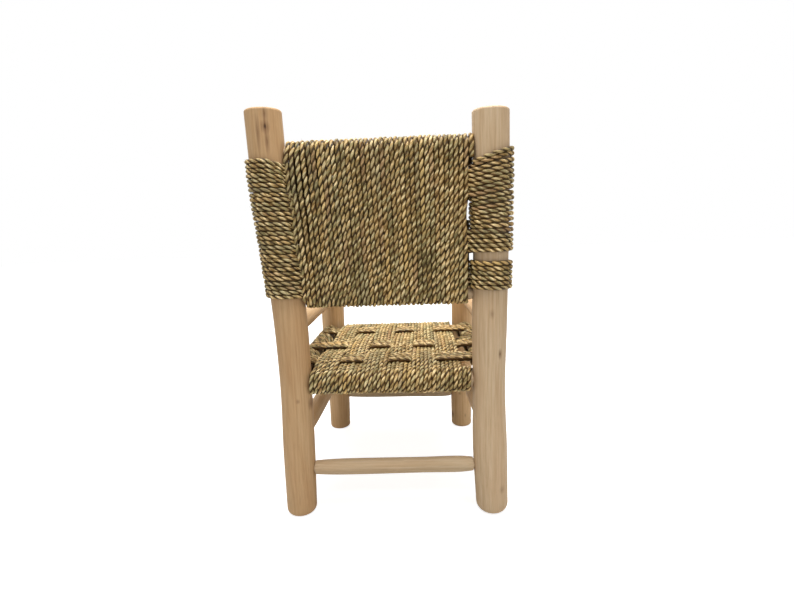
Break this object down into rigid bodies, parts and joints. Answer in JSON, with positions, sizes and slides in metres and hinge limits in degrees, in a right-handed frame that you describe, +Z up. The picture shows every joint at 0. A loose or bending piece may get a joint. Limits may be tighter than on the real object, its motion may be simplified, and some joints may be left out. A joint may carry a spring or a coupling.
{
  "type": "rope-seated pole armchair",
  "caption": "Low rustic armchair of debarked round poles, with a seat and back of wound natural-fibre rope.",
  "frame": {"origin": "bottom centre of the whole chair's bounding box, on the floor", "axes": "+Z up, the sitter faces -Y, +X to the sitter's left"},
  "size_m": [0.4436, 0.4258, 0.7185],
  "materials": {
    "pole_wood": "matte",
    "rope": "matte"
  },
  "bodies": {
    "root": {"left_back_post": "pole_wood", "right_back_post": "pole_wood", "left_front_leg": "pole_wood", "right_front_leg": "pole_wood", "seat_rear_rail": "pole_wood", "seat_front_rail": "pole_wood", "seat_left_rail": "pole_wood", "seat_right_rail": "pole_wood", "back_top_rail": "pole_wood", "back_lower_rail": "pole_wood", "left_arm": "pole_wood", "right_arm": "pole_wood", "rear_stretcher": "pole_wood", "front_stretcher": "pole_wood", "left_stretcher": "pole_wood", "right_stretcher": "pole_wood", "seat_warp_band_1": "rope", "seat_warp_band_2": "rope", "seat_warp_band_3": "rope", "seat_warp_band_4": "rope", "seat_warp_band_5": "rope", "seat_warp_band_6": "rope", "seat_rail_end_wrap": "rope", "seat_weft_rear": "rope", "seat_weft_middle": "rope", "seat_weft_front": "rope", "left_rail_wrap_rear": "rope", "left_rail_wrap_middle": "rope", "left_rail_wrap_front": "rope", "right_rail_wrap_rear": "rope", "right_rail_wrap_middle": "rope", "right_rail_wrap_front": "rope", "back_warp_band_1": "rope", "back_warp_band_2": "rope", "back_warp_band_3": "rope", "back_warp_band_4": "rope", "back_warp_band_5": "rope", "back_warp_band_6": "rope", "back_rail_end_wrap": "rope", "back_weft_upper": "rope", "back_weft_lower": "rope", "left_post_wrap_top": "rope", "left_post_wrap_middle": "rope", "left_post_wrap_lower": "rope", "right_post_wrap_top": "rope", "right_post_wrap_middle": "rope", "right_post_wrap_lower": "rope"}
  },
  "joints": []
}
